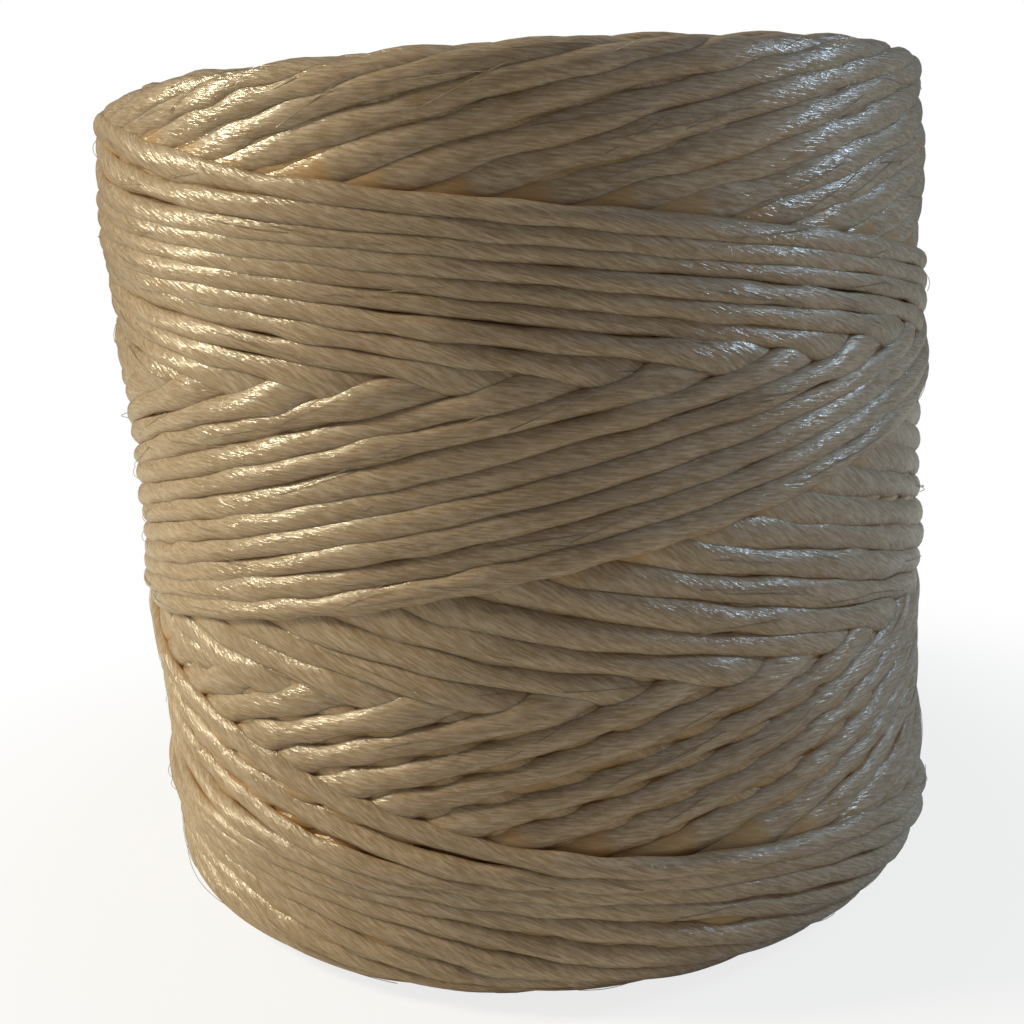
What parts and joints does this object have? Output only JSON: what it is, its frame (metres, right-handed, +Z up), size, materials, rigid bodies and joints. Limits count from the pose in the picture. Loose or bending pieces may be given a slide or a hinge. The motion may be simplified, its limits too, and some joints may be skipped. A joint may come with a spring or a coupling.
{
  "type": "waxed thread spool",
  "caption": "Cylindrical cross-wound package of waxed leatherworking thread with rounded shoulders, on a paperboard tube that slips over a spindle.",
  "frame": {"origin": "on the tube's axis, in the plane that the package stands on", "axes": "+Z up along the tube's bore, +Y away from the viewer, +X to the viewer's right"},
  "size_m": [0.075, 0.075, 0.0745],
  "materials": {
    "waxed_thread": "waxed filaments, satin",
    "liner_paper": "uncoated kraft paper, matte",
    "tube_board": "grey recycled board, matte",
    "wrap_paper": "calendered paper, matte"
  },
  "bodies": {
    "root": {"core_liner": "liner_paper", "core_board": "tube_board", "core_wrap": "wrap_paper", "inner_winding": "waxed_thread", "outer_winding": "waxed_thread"}
  },
  "joints": []
}
